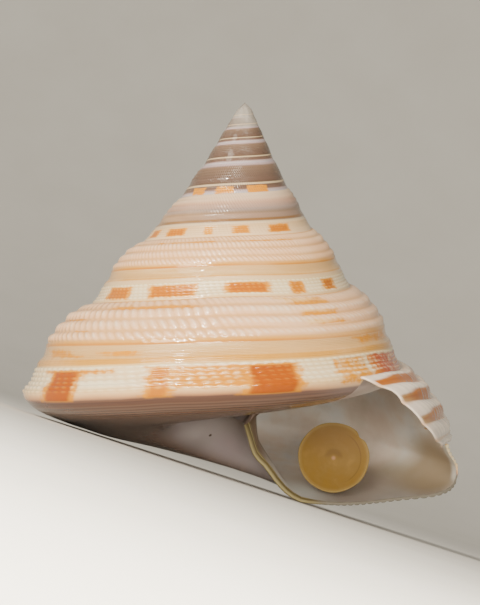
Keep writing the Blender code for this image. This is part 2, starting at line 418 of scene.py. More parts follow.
def cord_height(across, back, groove):
    """Height of the beaded cords as a share of the tallest, at places on the wall. They are smoother by the
    lip, and the shoulder's are worn along one stretch."""
    near = 1.0 - ramp(back, SMOOTH_FROM, SMOOTH_TO)
    worn = ramp(back, WORN_FROM, WORN_FROM + WORN_SOFT) * (1.0 - ramp(back, WORN_TO - WORN_SOFT, WORN_TO))
    bead, phase = bead_phase(back)
    gap = (0.5 + 0.5 * np.cos(math.tau * phase)) ** BEAD_ROUND
    height = np.zeros(np.broadcast(across, back).shape)
    for number, (above, crest, below, tall, cut, far) in enumerate(CORDS):
        inside = (across > above) & (across < below)
        share = np.minimum((across - above) / (crest - above), (below - across) / (below - crest))
        round_over = np.sin(np.clip(share, 0.0, 1.0) * math.pi / 2) ** (1.1 - 0.3 * near)
        smoother = (1.0 - SMOOTH_SHARE * near) * (1.0 - WORN_SHARE * worn * (number < SHOULDER_CORDS))
        beaded = 1.0 - groove * cut * smoother * gap
        uneven = 0.88 + 0.24 * chance(number, bead)
        grand = tall * (far + (1 - far) * near) * (1.0 + 0.3 * near)
        height += np.where(inside, grand * round_over * beaded * uneven, 0.0)
    height *= 1.0 - LIP_FLAT * (1.0 - ramp(back, 0.0, FLUTED)) * (across < BAND_TOP)
    covered = ramp(across, COVERED_FROM, JOIN) * ramp(back, SEAM_LAG - COVERED_REACH, SEAM_LAG)
    return height * (1.0 - covered)


def thread_height(across):
    """Height of the fine threads of the base, from 0 to 1."""
    wave = 0.5 - 0.5 * np.cos(math.tau * (across - THREADS_FROM) * THREADS / (THREADS_TO - THREADS_FROM))
    return np.where(across > THREADS_FROM, wave, 0.0)


def fine_relief(across, back):
    """Millimetres by which the band is hollow, the keel and the base's threads stand up, and the base is
    dented."""
    channel = np.clip((across - BAND_TOP) / (BAND_FOOT - BAND_TOP), 0.0, 1.0)
    keel = np.clip((across - KEEL_FROM) / (RIM_FOOT - KEEL_FROM), 0.0, 1.0)
    threaded = ramp(across, THREADS_FROM - 0.02, THREADS_FROM + 0.05) * (1 - ramp(across, 2.2, THREADS_TO))
    at_lip = 1.0 - ramp(back, SLIT_LAG, SLIT_LAG + 14.0)
    thread = threaded * thread_height(across) * (THREAD_HEIGHT + THREAD_AT_LIP * at_lip)
    fold = ramp(across, 2.45, 2.8) * (1.0 - ramp(across, 3.4, 3.7))
    dent = fold * np.exp(-(((back - SLIT_LAG - DENT_BEHIND) / DENT_REACH) ** 2))
    hollow = np.sin(math.pi * channel) ** 0.5
    return KEEL_HEIGHT * np.sin(math.pi * keel) - BAND_HOLLOW * hollow + thread - DENT * dent


def outer_wall(sizes):
    """The outside: the wall with its cords, and fine threads round the base."""

    def surface(across, back):
        lift = sizes.cord / MM * cord_height(across, back, sizes.groove) + fine_relief(across, back)
        return plugged(grown(across, back, lift), across)

    return surface


def plugged(points, across):
    """Callus fills the navel up to a low dome, and meets its wall softly."""
    radius = np.hypot(points[..., 0], points[..., 1])
    dome = PLUG_DEPTH - PLUG_FALL * (radius / PLUG_RADIUS) ** 2
    gap = -points[..., 2] - dome
    filled = dome + 0.5 * (gap + np.hypot(gap, PLUG_BLEND))
    near = (across > JOIN) & (radius < 2 * PLUG_RADIUS)
    points[..., 2] = np.where(near, -filled, points[..., 2])
    return points


def thickness(across, behind, sizes):
    """Thickness of the wall at places on its edge, which thins towards the lip."""
    thin = sizes.lip + (sizes.wall - sizes.lip) * ramp(behind, 0.0, THIN_REACH)
    return (thin + (sizes.columella - thin) * ramp(across, 2.2, 2.9)) / MM


def behind_lip(across, back):
    """Degrees of growth behind the edge, which is further back under the slit."""
    return back - np.where(across > MID_BAND, SLIT_LAG, 0.0)


def inner_wall(sizes):
    """The pearly inside, a wall's thickness in. Close to the lip it follows the shoulder's cords."""

    def surface(across, back):
        fluted = (1.0 - ramp(back, 0.0, FLUTED)) * (across < BAND_TOP)
        lift = sizes.cord / MM * fluted * cord_height(across, back, 0.0)
        return grown(across, back, lift - thickness(across, behind_lip(across, back), sizes))

    return surface


def lip_round(sizes, start):
    """The lip's edge, rounded over from the outside to the inside in a few small steps of growth."""
    outer = outer_wall(sizes)
    inner = inner_wall(sizes)

    def surface(across, back):
        here = np.full_like(across, start)
        angle = (back - start) / LIP_STEP / LIP_TURNS * math.pi
        out, into = outer(across, here), inner(across, here)
        radius = np.hypot(out[..., 0], out[..., 1])
        bulge = 0.5 * thickness(across, 0.0, sizes) * np.sin(angle)
        forward = -np.degrees(bulge / np.maximum(radius, 2.0))
        ahead = grown(across, start + forward) - grown(across, here)
        share = ((1 - np.cos(angle)) / 2)[..., None]
        return out * (1 - share) + into * share + ahead

    return surface


# The shell's two finishes, in the order of its materials.
OUTSIDE, NACRE = 0, 1


def add_sheet(bm, surface, rows, columns, finish=OUTSIDE):
    """A grid of shell, a row for each place on the edge and a column for each step of growth."""
    count = len(columns)
    verts = bmesh.ops.create_grid(bm, x_segments=count - 1, y_segments=len(rows) - 1, size=1.0)["verts"]
    across, back = (grid.ravel() for grid in np.meshgrid(rows, np.asarray(columns, float), indexing="ij"))
    across_layer = bm.verts.layers.float["across"]
    back_layer = bm.verts.layers.float["back"]
    for vert, point, place, lag in zip(verts, surface(across, back).tolist(), across.tolist(), back.tolist()):
        vert.co = point
        vert[across_layer] = place
        vert[back_layer] = lag
    for face in {face for vert in verts for face in vert.link_faces}:
        face.material_index = finish
    return [verts[i : i + count] for i in range(0, len(verts), count)]


def first_column(sheet):
    """The edge of a sheet that was grown last."""
    return [row[0] for row in sheet]


def last_column(sheet):
    """The edge of a sheet that was grown first."""
    return [row[-1] for row in sheet]


def bridge(bm, one, other, finish=OUTSIDE):
    """Faces between two chains of points, which need not have the same number of them."""
    pairs = [pair for chain in (one, other) for pair in zip(chain, chain[1:])]
    edges = [bm.edges.get(pair) or bm.edges.new(pair) for pair in pairs]
    for face in bmesh.ops.bridge_loops(bm, edges=edges)["faces"]:
        face.material_index = finish


def cord_rows(detail, every=1):
    """Places of rows across the wall: so many to a cord, or one at every so many cords."""
    furrows = [cord[0] for cord in CORDS]
    if detail == 1:
        return furrows[::every] + [JOIN]
    rows = []
    for top, foot in zip(furrows, furrows[1:] + [JOIN]):
        if foot > BAND_TOP > top:
            rows += [top, 0.5 * (top + BAND_TOP)]
            rows += list(np.linspace(BAND_TOP, BAND_FOOT, detail + 1, endpoint=False))
        else:
            rows += [top + share * (foot - top) for share in CORD_SHARES[detail]]
    return rows + [JOIN]


def steps(start, end, step=STEP):
    """Degrees of growth in even steps, both ends kept."""
    return np.linspace(start, end, round((end - start) / step) + 1)


def pick(rows, low, high):
    """The rows between two places, both ends kept."""
    return [row for row in rows if low - 1e-9 <= row <= high + 1e-9]


def spread_rows(*stretches):
    """Evenly spaced rows, as (from, to, how many) for each stretch."""
    return [float(row) for start, end, count in stretches for row in np.linspace(start, end, count)]


# Rows of the last turn's rim, base and navel, and of the mouth's roof. The base has three to a thread.
RIM_ROWS = spread_rows((JOIN, 1.14, 7))
BASE_ROWS = [RIM_FOOT] + spread_rows((THREADS_FROM, THREADS_TO, 3 * THREADS + 1), (2.66, ROOF_TO, 2))
NAVEL_ROWS = spread_rows((ROOF_TO, EDGE_END, 13))
ROOF_ROWS = [RIM_FOOT] + spread_rows((1.25, ROOF_TO, 16))


def grow_spire(bm, outer):
    """The outside of every turn's wall, with fewer points on the older ones. Returns the sheets by the
    lip."""
    rows = cord_rows(5)
    shoulder = add_sheet(bm, outer, pick(rows, SEAM, BAND_TOP), steps(0.0, SLIT_END))
    flank = add_sheet(bm, outer, pick(rows, BAND_FOOT, JOIN), steps(SLIT_LAG, SLIT_END))
    last = add_sheet(bm, outer, rows, steps(SLIT_END, LAST_TURN))
    start = LAST_TURN
    for end, detail, every in LEVELS:
        sheet = add_sheet(bm, outer, cord_rows(detail, every), steps(start + STEP, end))
        bridge(bm, last_column(last), first_column(sheet))
        last, start = sheet, end
    return shoulder, flank


def grow_base(bm, outer, deep):
    """The outside of the last turn's rim, base and navel, and the roof of the mouth, which it turns into."""
    rim = add_sheet(bm, outer, RIM_ROWS, steps(SLIT_LAG, SEAM_LAG))
    base = add_sheet(bm, outer, BASE_ROWS, steps(SLIT_LAG, SEAM_LAG - BASE_STEP, BASE_STEP))
    add_sheet(bm, outer, NAVEL_ROWS, steps(SLIT_LAG, SEAM_LAG, BASE_STEP))
    roof = add_sheet(bm, outer, ROOF_ROWS, SEAM_LAG + deep, NACRE)
    bridge(bm, rim[-1], base[0] + [roof[0][0]])
    bridge(bm, last_column(base), first_column(roof))
    return roof


def grow_inside(bm, inner, deep, roof):
    """The pearly inside, joined to the mouth's roof above and below. Returns its sheets by the lip."""
    under = [lag for lag in deep if lag > SLIT_LAG - WELD]
    behind = [lag for lag in deep if lag > SLIT_END - WELD]
    beside = [lag for lag in deep if lag < SLIT_END + WELD]
    top_rows = [0.03, 0.07] + pick(cord_rows(5), 0.09, BAND_TOP)
    low_rows = spread_rows((BAND_FOOT, JOIN, 6), (1.05, 1.3, 5), (1.4, ROOF_TO, 12), (2.85, EDGE_END, 9))
    top = add_sheet(bm, inner, top_rows, beside, NACRE)
    low = add_sheet(bm, inner, low_rows, [lag for lag in under if lag < SLIT_END + WELD], NACRE)
    whole = add_sheet(bm, inner, top_rows + [MID_BAND] + low_rows, behind, NACRE)
    bridge(bm, top[0], roof[0][: len(beside)], NACRE)
    bridge(bm, whole[0], roof[0][len(beside) - 1 :], NACRE)
    bridge(bm, low[-1], roof[-1][len(deep) - len(under) : len(beside)], NACRE)
    bridge(bm, whole[-1], roof[-1][len(beside) - 1 :], NACRE)
    return top, low


def grow_shell(bm, sizes):
    """All the sheets, and the rounded lip that joins the outside to the inside."""
    outer, inner = outer_wall(sizes), inner_wall(sizes)
    deep = np.concatenate([steps(0.0, SLIT_END), steps(SLIT_END, MOUTH_DEPTH, DEEP_STEP)[1:]])
    shoulder, flank = grow_spire(bm, outer)
    roof = grow_base(bm, outer, deep)
    inner_top, inner_low = grow_inside(bm, inner, deep, roof)

    rows = cord_rows(5)
    lip_steps = LIP_STEP * np.arange(LIP_TURNS)
    low_rows = pick(rows, BAND_FOOT, JOIN) + RIM_ROWS[1:] + BASE_ROWS + NAVEL_ROWS[1:]
    lip_top = add_sheet(bm, lip_round(sizes, 0.0), pick(rows, SEAM, BAND_TOP), lip_steps)
    lip_low = add_sheet(bm, lip_round(sizes, SLIT_LAG), low_rows, SLIT_LAG + lip_steps)
    bridge(bm, last_column(lip_top), first_column(inner_top))
    bridge(bm, last_column(lip_low), first_column(inner_low))
    bridge(bm, shoulder[-1], inner_top[-1], NACRE)
    bridge(bm, flank[0], inner_low[0], NACRE)

    foot = inner_low[-1][0]
    before_slit = round(SLIT_LAG / STEP)
    for one, other in zip(roof[-1][:before_slit], roof[-1][1:]):
        bm.faces.new((foot, one, other)).material_index = NACRE
    bm.faces.new([*lip_low[-1], foot, roof[-1][0]])


def write_growth(bm):
    """Keeps each corner's place on the edge and its growth as a map for the materials. A face that joins two
    turns belongs to the older one."""
    growth = bm.loops.layers.uv.new("growth")
    across = bm.verts.layers.float["across"]
    back = bm.verts.layers.float["back"]
    for face in bm.faces:
        oldest = max(face.verts, key=lambda vert: vert[back])
        for loop in face.loops:
            joins_turns = oldest[back] - loop.vert[back] > 180.0
            source = oldest if joins_turns else loop.vert
            loop[growth].uv = (source[back] / 360.0, source[across])


def close_holes(bm):
    """Caps on the tip, over the navel and at the hollow's end. The first two rise to a point on the axis."""
    edges = [edge for edge in bm.edges if edge.is_boundary]
    for cap in bmesh.ops.holes_fill(bm, edges=edges, sides=0)["faces"]:
        centre = cap.calc_center_median()
        if math.hypot(centre.x, centre.y) < NEAR_AXIS:
            depth = TIP_DEPTH if -centre.z < TIP_ABOVE else PLUG_DEPTH
            bmesh.ops.poke(bm, faces=[cap])["verts"][0].co = Vector((0.0, 0.0, -depth))


def shell_place():
    """From millimetres about the point over the tip to metres where the shell rests."""
    left = Matrix.Rotation(-math.radians(LEAN_LEFT), 4, "Y")
    forward = Matrix.Rotation(math.radians(LEAN_FORWARD), 4, "X")
    return Matrix.Scale(MM, 4) @ Matrix.Translation(OVER_TIP) @ left @ forward


def finish_piece(bm, name, place, materials, node):
    """Makes the mesh a piece in its place, smooth, riding on the shell's body in place of its solid."""
    bmesh.ops.recalc_face_normals(bm, faces=bm.faces)
    bmesh.ops.transform(bm, matrix=place, verts=bm.verts)
    mesh = bpy.data.meshes.new(name)
    bm.to_mesh(mesh)
    bm.free()
    mesh.shade_smooth()
    for material in materials:
        mesh.materials.append(material)
    piece = bpy.data.objects.new(name, mesh)
    bpy.context.scene.collection.objects.link(piece)
    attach(piece, BODY)
    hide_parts(node)
    return piece


def add_node(tree, kind, settings=None, links=None):
    """A shader node with its settings, and links into it from other sockets."""
    made = tree.nodes.new(kind)
    for name, value in (settings or {}).items():
        if name in made.inputs:
            made.inputs[name].default_value = value
        else:
            setattr(made, name, value)
    for name, socket in (links or {}).items():
        tree.links.new(socket, made.inputs[name])
    return made


# Orange blocks on the white band over each seam: (turn, from, to, foot, strength). From and to are in
# degrees from the front middle, the foot is where across the wall a block ends, and its strength is how
# solid its colour is. The last turn is 0, and older ones follow.
FLAMES = [
    (0, -61.5, -45.5, 1.12, 1.0),
    (0, -46.0, -33.0, 0.80, 0.8),
    (0, -22.5, -13.5, 1.12, 0.85),
    (0, -15.0, 9.0, 1.02, 0.74),
    (0, 6.5, 25.0, 1.12, 1.0),
    (0, 38.0, 51.5, 1.06, 0.60),
    (0, 54.5, 88.0, 1.04, 0.66),
    (1, -66.0, -48.0, 0.97, 0.9),
    (1, -38.0, -14.0, 0.97, 0.9),
    (1, -2.0, 19.5, 0.95, 1.0),
    (1, 29.0, 38.0, 0.97, 0.85),
    (1, 50.5, 61.5, 0.95, 0.95),
    (2, -74.0, -62.0, 0.95, 0.9),
    (2, -52.5, -35.0, 0.95, 0.9),
    (2, -21.0, -15.0, 0.95, 0.7),
    (2, -1.0, 11.5, 0.95, 0.8),
    (2, 25.5, 45.5, 0.95, 0.9),
    (3, -55.0, -37.5, 1.0, 0.75),
    (3, -24.5, -4.0, 1.0, 0.75),
    (3, 10.5, 36.0, 1.0, 0.75),
]
# Where the blocks begin across the wall, where those out of sight end, how they slant, and how soft their
# edges are.
FLAME_TOP = 0.765
FLAME_FOOT = 1.08
FLAME_SLANT = 12.0
FLAME_SOFT = 7.0
FLAME_EDGE = 0.06
# The front middle, in degrees behind the lip.
FRONT = 288.0
# Blocks out of the photograph's sight: where they lie on each turn, where none are, their size and their
# strength.
HIDDEN_FROM, HIDDEN_TO = 100.0, 260.0
HIDDEN_BEFORE = 60.0
BLOCK = 32.0
BLOCK_STRENGTH = 0.9

# Orange streaks on the shoulder and the band: (turn, from, to, place across the wall, half height,
# strength).
STREAKS = [
    (0, 45.0, 66.0, 0.066, 0.030, 0.9),
    (0, 46.0, 65.0, 0.192, 0.026, 0.9),
    (0, 46.0, 62.0, 0.290, 0.024, 0.8),
    (0, -28.0, 10.0, 0.083, 0.018, 0.72),
    (0, -75.0, -40.0, 0.205, 0.010, 0.72),
    (0, -45.0, -38.0, 0.335, 0.010, 0.72),
    (1, -30.0, 10.0, 0.090, 0.012, 0.72),
    (1, 20.0, 62.0, 0.090, 0.012, 0.72),
    (0, -64.0, -34.0, 0.790, 0.022, 0.95),
    (0, -66.0, -50.0, 0.580, 0.040, 0.72),
    (0, -37.0, -24.0, 0.590, 0.026, 0.66),
    (0, 58.0, 84.0, 0.550, 0.045, 0.66),
]
STREAK_SOFT = 14.0
# Stretches where the orange is solid, and where it turns red, in degrees behind the lip.
EMBERS = [(0, 5.0, 25.0), (0, -66.0, -44.0)]
REDDISH = (344.0, 384.0)
# Stripes at the lip: how many there are, and where on the lower side of its cord each begins.
STRIPES = 3
STRIPE_FROM = 0.4


def from_front(turn, degrees):
    """Degrees of growth behind the lip, for a turn and degrees from the front middle."""
    return FRONT + 360.0 * turn + degrees


def blocks():
    """Every orange block as (start, end, foot, strength). Those out of the photograph's sight follow a
    rule."""
    found = [(from_front(turn, one), from_front(turn, other), *rest) for turn, one, other, *rest in FLAMES]
    for turn in range(-1, 4):
        at = from_front(turn, HIDDEN_FROM)
        while at < from_front(turn, HIDDEN_TO):
            wide = BLOCK * (0.35 + 0.5 * float(chance(at, turn)))
            if at > HIDDEN_BEFORE:
                found.append((at, at + wide, FLAME_FOOT if turn < 1 else JOIN, BLOCK_STRENGTH))
            at += wide + BLOCK * (0.25 + 0.45 * float(chance(turn, at)))
    return found


def inside_by(value, low, high, soft):
    """A half at the ends of a range, more inside it and less outside, over a soft width."""
    return 0.5 + np.minimum(value - low, high - value) / soft


def flame_field(across, back):
    """Where the orange blocks and streaks are: over a half inside them."""
    field = np.zeros_like(back)
    upright = back + FLAME_SLANT * (across - 0.5 * (FLAME_TOP + JOIN))
    for start, end, foot, full in blocks():
        wide = inside_by(upright, start, end, FLAME_SOFT)
        tall = inside_by(across, FLAME_TOP, foot, FLAME_EDGE)
        field = np.maximum(field, np.minimum(np.minimum(wide, tall), full))
    for turn, start, end, middle, half, full in STREAKS:
        wide = inside_by(back, from_front(turn, start), from_front(turn, end), STREAK_SOFT)
        tall = inside_by(across, middle - half, middle + half, 2.5 * half)
        field = np.maximum(field, np.minimum(np.minimum(wide, tall), full))
    return np.clip(field, 0.0, 1.0)


def ember_field(back):
    """Where the orange is solid."""
    field = np.zeros_like(back)
    for turn, start, end in EMBERS:
        wide = inside_by(back, from_front(turn, start), from_front(turn, end), STREAK_SOFT)
        field = np.maximum(field, wide)
    return np.clip(field, 0.0, 1.0)


def lip_stain(across, back):
    """Orange stripes on the lower sides of the shoulder's first cords, from just behind the lip's white
    edge."""
    near = ramp(back, 0.0, 1.2) * (1.0 - ramp(back, 30.0, 80.0))
    begin = STRIPE_FROM - 0.3 * ramp(back, 2.0, 20.0)
    field = np.zeros_like(back)
    for _, crest, below, *_ in CORDS[:STRIPES]:
        low = inside_by(across, crest + begin * (below - crest), below + 0.004, 0.02)
        field = np.maximum(field, low)
    return np.clip(field, 0.0, 1.0) * near


def write_map(mesh, name, one, other):
    """Keeps two values for each corner as a map."""
    values = np.stack([one, other], axis=-1).ravel().astype(np.float32)
    mesh.uv_layers.new(name=name, do_init=False).uv.foreach_set("vector", values)


def paint(mesh, groove):
    """Writes the fields that the shell's materials read, one value for each corner."""
    growth = np.empty(len(mesh.loops) * 2, np.float32)
    mesh.uv_layers["growth"].uv.foreach_get("vector", growth)
    back, across = growth[0::2].astype(float) * 360.0, growth[1::2].astype(float)
    cord = cord_height(across, np.round(back / STEP) * STEP, groove)
    write_map(mesh, "relief", np.clip(cord, 0.0, 1.2) + thread_height(across), lip_stain(across, back))
    write_map(mesh, "paint", flame_field(across, back), ember_field(back))


def new_material(name):
    """A material with its nodes and its shader."""
    made = bpy.data.materials.new(name)
    made.use_nodes = True
    return made, made.node_tree, made.node_tree.nodes["Principled BSDF"]


def shades(tree, stops, factor):
    """The colour at a place among (place, hex colour) stops."""
    made = add_node(tree, "ShaderNodeValToRGB", links={"Fac": factor})
    while len(made.color_ramp.elements) < len(stops):
        made.color_ramp.elements.new(1.0)
    for element, (place, colour) in zip(made.color_ramp.elements, stops):
        element.position = place
        element.color = hex_colour(colour)
    return made.outputs["Color"]


def mix_colour(tree, factor, one, other):
    """A mix of two colours, each a socket, a hex colour or a property."""
    made = add_node(tree, "ShaderNodeMix", {"data_type": "RGBA"})
    for index, value in ((0, factor), (6, one), (7, other)):
        if isinstance(value, bpy.types.NodeSocket):
            tree.links.new(value, made.inputs[index])
        else:
            made.inputs[index].default_value = hex_colour(value) if isinstance(value, str) else value
    return made.outputs[2]


def laid(tree, under, over, *shares):
    """One colour laid over another, as strongly as all its shares together."""
    return mix_colour(tree, times(tree, *shares), under, over)


def reckon(tree, operation, *values):
    """A sum on single numbers, each a socket or a plain number."""
    made = add_node(tree, "ShaderNodeMath", {"operation": operation})
    for socket, value in zip(made.inputs, values):
        if isinstance(value, (int, float)):
            socket.default_value = value
        else:
            tree.links.new(value, socket)
    return made.outputs[0]


def times(tree, *values):
    """Several numbers multiplied together."""
    product = values[0]
    for value in values[1:]:
        product = reckon(tree, "MULTIPLY", product, value)
    return product


def less(tree, whole, value, share):
    """A number less a share of another."""
    return reckon(tree, "SUBTRACT", whole, times(tree, value, share))


def swing(tree, value, width):
    """A noise from 0 to 1 as one that swings about 0."""
    return times(tree, reckon(tree, "SUBTRACT", value, 0.5), width)


def waves(tree, value, count):
    """So many waves to one of a value."""
    return reckon(tree, "SINE", times(tree, value, math.tau * count))


def spread(tree, value, low, high):
    """Stretches a range of a value to the whole of 0 to 1."""
    limits = {"From Min": low, "From Max": high, "interpolation_type": "SMOOTHSTEP"}
    return add_node(tree, "ShaderNodeMapRange", limits, {"Value": value}).outputs[0]


def fade(tree, value, low, high):
    """One up to a place and nothing beyond it."""
    return reckon(tree, "SUBTRACT", 1.0, spread(tree, value, low, high))


def band(tree, value, low, high, soft):
    """One between two values and nothing outside them."""
    above = spread(tree, value, low - soft, low + soft)
    return times(tree, above, fade(tree, value, high - soft, high + soft))


def spot(tree, at, centre, reach, soft):
    """One in the middle of a round patch and nothing outside it. Lengths are in millimetres."""
    far = add_node(tree, "ShaderNodeVectorMath", {"operation": "DISTANCE"}, {"Vector": at.place})
    far.inputs[1].default_value = tuple(shell_place() @ Vector(centre))
    return fade(tree, far.outputs["Value"], (reach - soft) * MM, (reach + soft) * MM)


def read_map(tree, name):
    """The two values that a map keeps."""
    read = add_node(tree, "ShaderNodeUVMap", {"uv_map": name}).outputs[0]
    parts = add_node(tree, "ShaderNodeSeparateXYZ", links={"Vector": read})
    return parts.outputs["X"], parts.outputs["Y"]


def grain_of(tree, vector, scale, detail):
    """Noise on a vector, stretched by a scale."""
    mapping = add_node(tree, "ShaderNodeMapping", {"Scale": scale}, {"Vector": vector})
    settings = {"Scale": 1.0, "Detail": detail}
    return add_node(tree, "ShaderNodeTexNoise", settings, {"Vector": mapping.outputs[0]}).outputs["Fac"]


def noise(tree, place, grain, stretch=(1.0, 1.0, 1.0)):
    """Noise whose grain is so many millimetres across, on the object's own coordinates."""
    return grain_of(tree, place, tuple(share / (grain * MM) for share in stretch), 3.0)


def growth_noise(tree, growth, along, across, detail=2.0):
    """Noise in the shell's own directions: so many grains a turn, and so many across the wall's height."""
    return grain_of(tree, growth, (along, across, 1.0), detail)


# Ground colours down the wall, as (place, colour), for the last turns, the middle ones and the oldest. Past
# 1.08 the last turns' stops darken where the rim turns under: painted shade.
WALL_END = 1.2
YOUNG_WALL = [
    (0.000, "CC9048"), (0.025, "E8BC94"), (0.200, "E9B990"), (0.420, "E8B88C"), (0.455, "DDA558"),
    (0.478, "C07820"), (0.490, "BC7014"), (0.498, "D8B888"), (0.560, "D8B886"), (0.640, "D8B076"),
    (0.660, "CE9234"), (0.705, "D09636"), (0.722, "E0BE80"), (0.745, "E8D8B0"), (0.950, "E9DAB8"),
    (1.000, "E8CC9C"), (1.040, "DCB07C"), (1.085, "B8845C"), (1.110, "74554A"), (1.200, "664C40"),
]
MIDDLE_WALL = [
    (0.000, "D2B89C"), (0.140, "CCAE92"), (0.220, "B8927A"), (0.380, "928079"), (0.460, "806A58"),
    (0.500, "937A6A"), (0.580, "937A6A"), (0.620, "7E5628"), (0.680, "846F5F"), (0.730, "D0AC80"),
    (0.780, "D4B286"), (1.000, "E5C49C"), (1.200, "DEBA94"),
]
OLD_WALL = [
    (0.000, "AE9CA4"), (0.060, "AA9494"), (0.110, "78604F"), (0.300, "6B5749"), (0.420, "655145"),
    (0.560, "695347"), (0.640, "604B3D"), (0.780, "654F43"), (0.870, "6E5549"), (0.910, "AC9696"),
    (1.000, "ACA6AC"), (1.200, "ACA6AC"),
]
# Ground colours from the rim inwards over the base, to the callus. They are darker than the base's own
# colour: the shade of the downward-facing base is painted into them.
BASE_END = 3.8
BASE_WALL = [
    (1.120, "644840"), (1.300, "5E4032"), (1.700, "58392A"), (2.100, "664A3C"), (2.400, "745646"),
    (2.650, "8E7468"), (2.820, "988A88"), (3.000, "ACA2A4"), (3.200, "A29897"), (3.800, "8E8278"),
]

# Colours of the mouth's roof, which is the base of the turn before, from its rim to the columella. A place is
# a share of BASE_END. Its darker mauve under the rim is partly its own colour and partly painted shade, and
# its dark brown by the columella is painted shade.
ROOF = [(0.30, "B09C94"), (0.36, "DCD2CC"), (0.50, "EEE8E2"), (0.60, "D8CCC2"), (0.68, "5A483A")]
# Beads to a turn, which is one to every OLD_BEAD degrees, and rows of them to the height of the wall, where
# they are drawn and not modelled.
BEADS_ABOVE = 360.0 / OLD_BEAD
ROWS_ABOVE = 11.0
# Fine threads to the height of the wall, drawn on the smooth band.
BAND_THREADS = 48.0
# Round patches of colour, as (centre, reach, softness of the edge) in millimetres. Three are on the base, one
# of them its small pit, and four are in the mouth. The pit's dark spot, the dark spot deep inside and the
# darker spot by the outer corner are painted shade. The pale patch on the mouth's floor is partly a painted
# highlight, and the tan patch by the outer corner is partly painted shade.
BASE_MIDDLE = ((-3.8, 5.0, -47.6), 2.9, 1.4)
PIT_SHADE = ((-2.1, 5.4, -48.0), 0.22, 0.08)
BY_COLUMELLA = ((0.8, 6.4, -49.7), 2.4, 1.6)
DEEP_INSIDE_SHADE = ((4.6, -5.0, -43.6), 3.6, 1.6)
MOUTH_FLOOR_PALE_HIGHLIGHT = ((10.0, 4.0, -52.5), 4.5, 3.5)
OUTER_CORNER = ((29.4, 13.6, -52.2), 5.4, 2.2)
CORNER_SHADE = ((24.4, 18.0, -52.4), 2.8, 2.2)
# The nacre right at the lip's thin edge.
LIP_WHITE = "E8E4DC"


def stops_to(end, stops):
    """A ramp's stops with their places as shares of its end."""
    return [(place / end, colour) for place, colour in stops]


def shell_maps(tree):
    """What the shell's materials read at each point of it."""
    turn, across = read_map(tree, "growth")
    cord, stain = read_map(tree, "relief")
    flame, ember = read_map(tree, "paint")
    place = add_node(tree, "ShaderNodeTexCoord").outputs["Object"]
    growth = add_node(tree, "ShaderNodeUVMap", {"uv_map": "growth"}).outputs[0]
    speckle = noise(tree, place, 1.1)
    return SimpleNamespace(
        turn=turn,
        across=across,
        cord=cord,
        stain=stain,
        flame=flame,
        ember=ember,
        place=place,
        growth=growth,
        speckle=speckle,
        ragged=swing(tree, speckle, 0.8),
        lines=growth_noise(tree, growth, 260.0, 1.2, 3.0),
        swirl=growth_noise(tree, growth, 3.0, 30.0),
        young=fade(tree, turn, 2.2, 3.0),
    )


def wall_ground(tree, at, hues):
    """The ground's shades down the wall, from the last turns to the middle ones, the oldest and the bleached
    tip."""
    share = reckon(tree, "DIVIDE", at.across, WALL_END)
    young, middle, old = (
        shades(tree, stops_to(WALL_END, stops), share) for stops in (YOUNG_WALL, MIDDLE_WALL, OLD_WALL)
    )
    ground = mix_colour(tree, spread(tree, at.turn, 2.0, 2.75), young, middle)
    ground = mix_colour(tree, spread(tree, at.turn, 3.0, 3.7), ground, old)
    return mix_colour(tree, spread(tree, at.turn, 6.3, 7.1), ground, hues.tip)


def ground_colour(tree, at, hues):
    """The wall's ground with pale patches, growth lines, a greyer strip by the lip and golden furrows. The
    furrows' gold is partly the shell's own lines and partly painted shade between the cords."""
    ground = wall_ground(tree, at, hues)
    patchy = growth_noise(tree, at.growth, 9.0, 3.0)
    ground = laid(tree, ground, "F0D2AC", spread(tree, patchy, 0.45, 0.75), at.young, 0.4)
    ground = laid(tree, ground, "A87A5A", spread(tree, at.lines, 0.55, 0.8), 0.14)
    ground = laid(tree, ground, "E0DAD4", fade(tree, at.turn, 0.04, 0.12), 0.75)
    # Golden furrows between the cords: partly the shell's own lines, partly painted shade.
    furrow = times(tree, fade(tree, at.cord, 0.05, 0.5), reckon(tree, "LESS_THAN", at.across, 1.02))
    shaded = spread(tree, growth_noise(tree, at.growth, 6.0, 9.0), 0.25, 0.5)
    strength = less(tree, 0.5, spread(tree, at.across, 0.72, 0.76), 0.15)
    ground = laid(tree, ground, hues.furrow, furrow, shaded, at.young, strength)
    plain = band(tree, at.across, 0.67, 0.73, 0.015)
    return laid(tree, ground, "E2C8A2", plain, spread(tree, at.turn, 1.2, 1.6), 0.7)


def block_colour(tree, at, hues):
    """The blocks' orange: golden where it is thin, deep where it is solid, red by the lip, and pale on the
    crests, which is a painted highlight."""
    solid = spread(tree, reckon(tree, "ADD", at.ember, at.ragged), 0.3, 0.9)
    thin = fade(tree, at.flame, 0.66, 0.98)
    orange = mix_colour(tree, solid, hues.orange, hues.deep)
    orange = laid(tree, orange, hues.golden, thin, 0.7)
    by_lip = band(tree, at.turn, REDDISH[0] / 360.0, REDDISH[1] / 360.0, 0.02)
    orange = laid(tree, orange, "B2481C", by_lip, spread(tree, at.across, 0.7, 0.76))
    # The crests' paler orange is a painted highlight on the beads.
    crest = mix_colour(tree, thin, hues.crest, "F4D6A0")
    pale = spread(tree, growth_noise(tree, at.growth, 22.0, 14.0), 0.3, 0.7)
    weak = less(tree, 1.0, solid, 0.8)
    strength = less(tree, 0.75, spread(tree, at.turn, 1.1, 1.4), 0.4)
    return laid(tree, orange, crest, spread(tree, at.cord, 0.15, 0.5), pale, weak, strength)


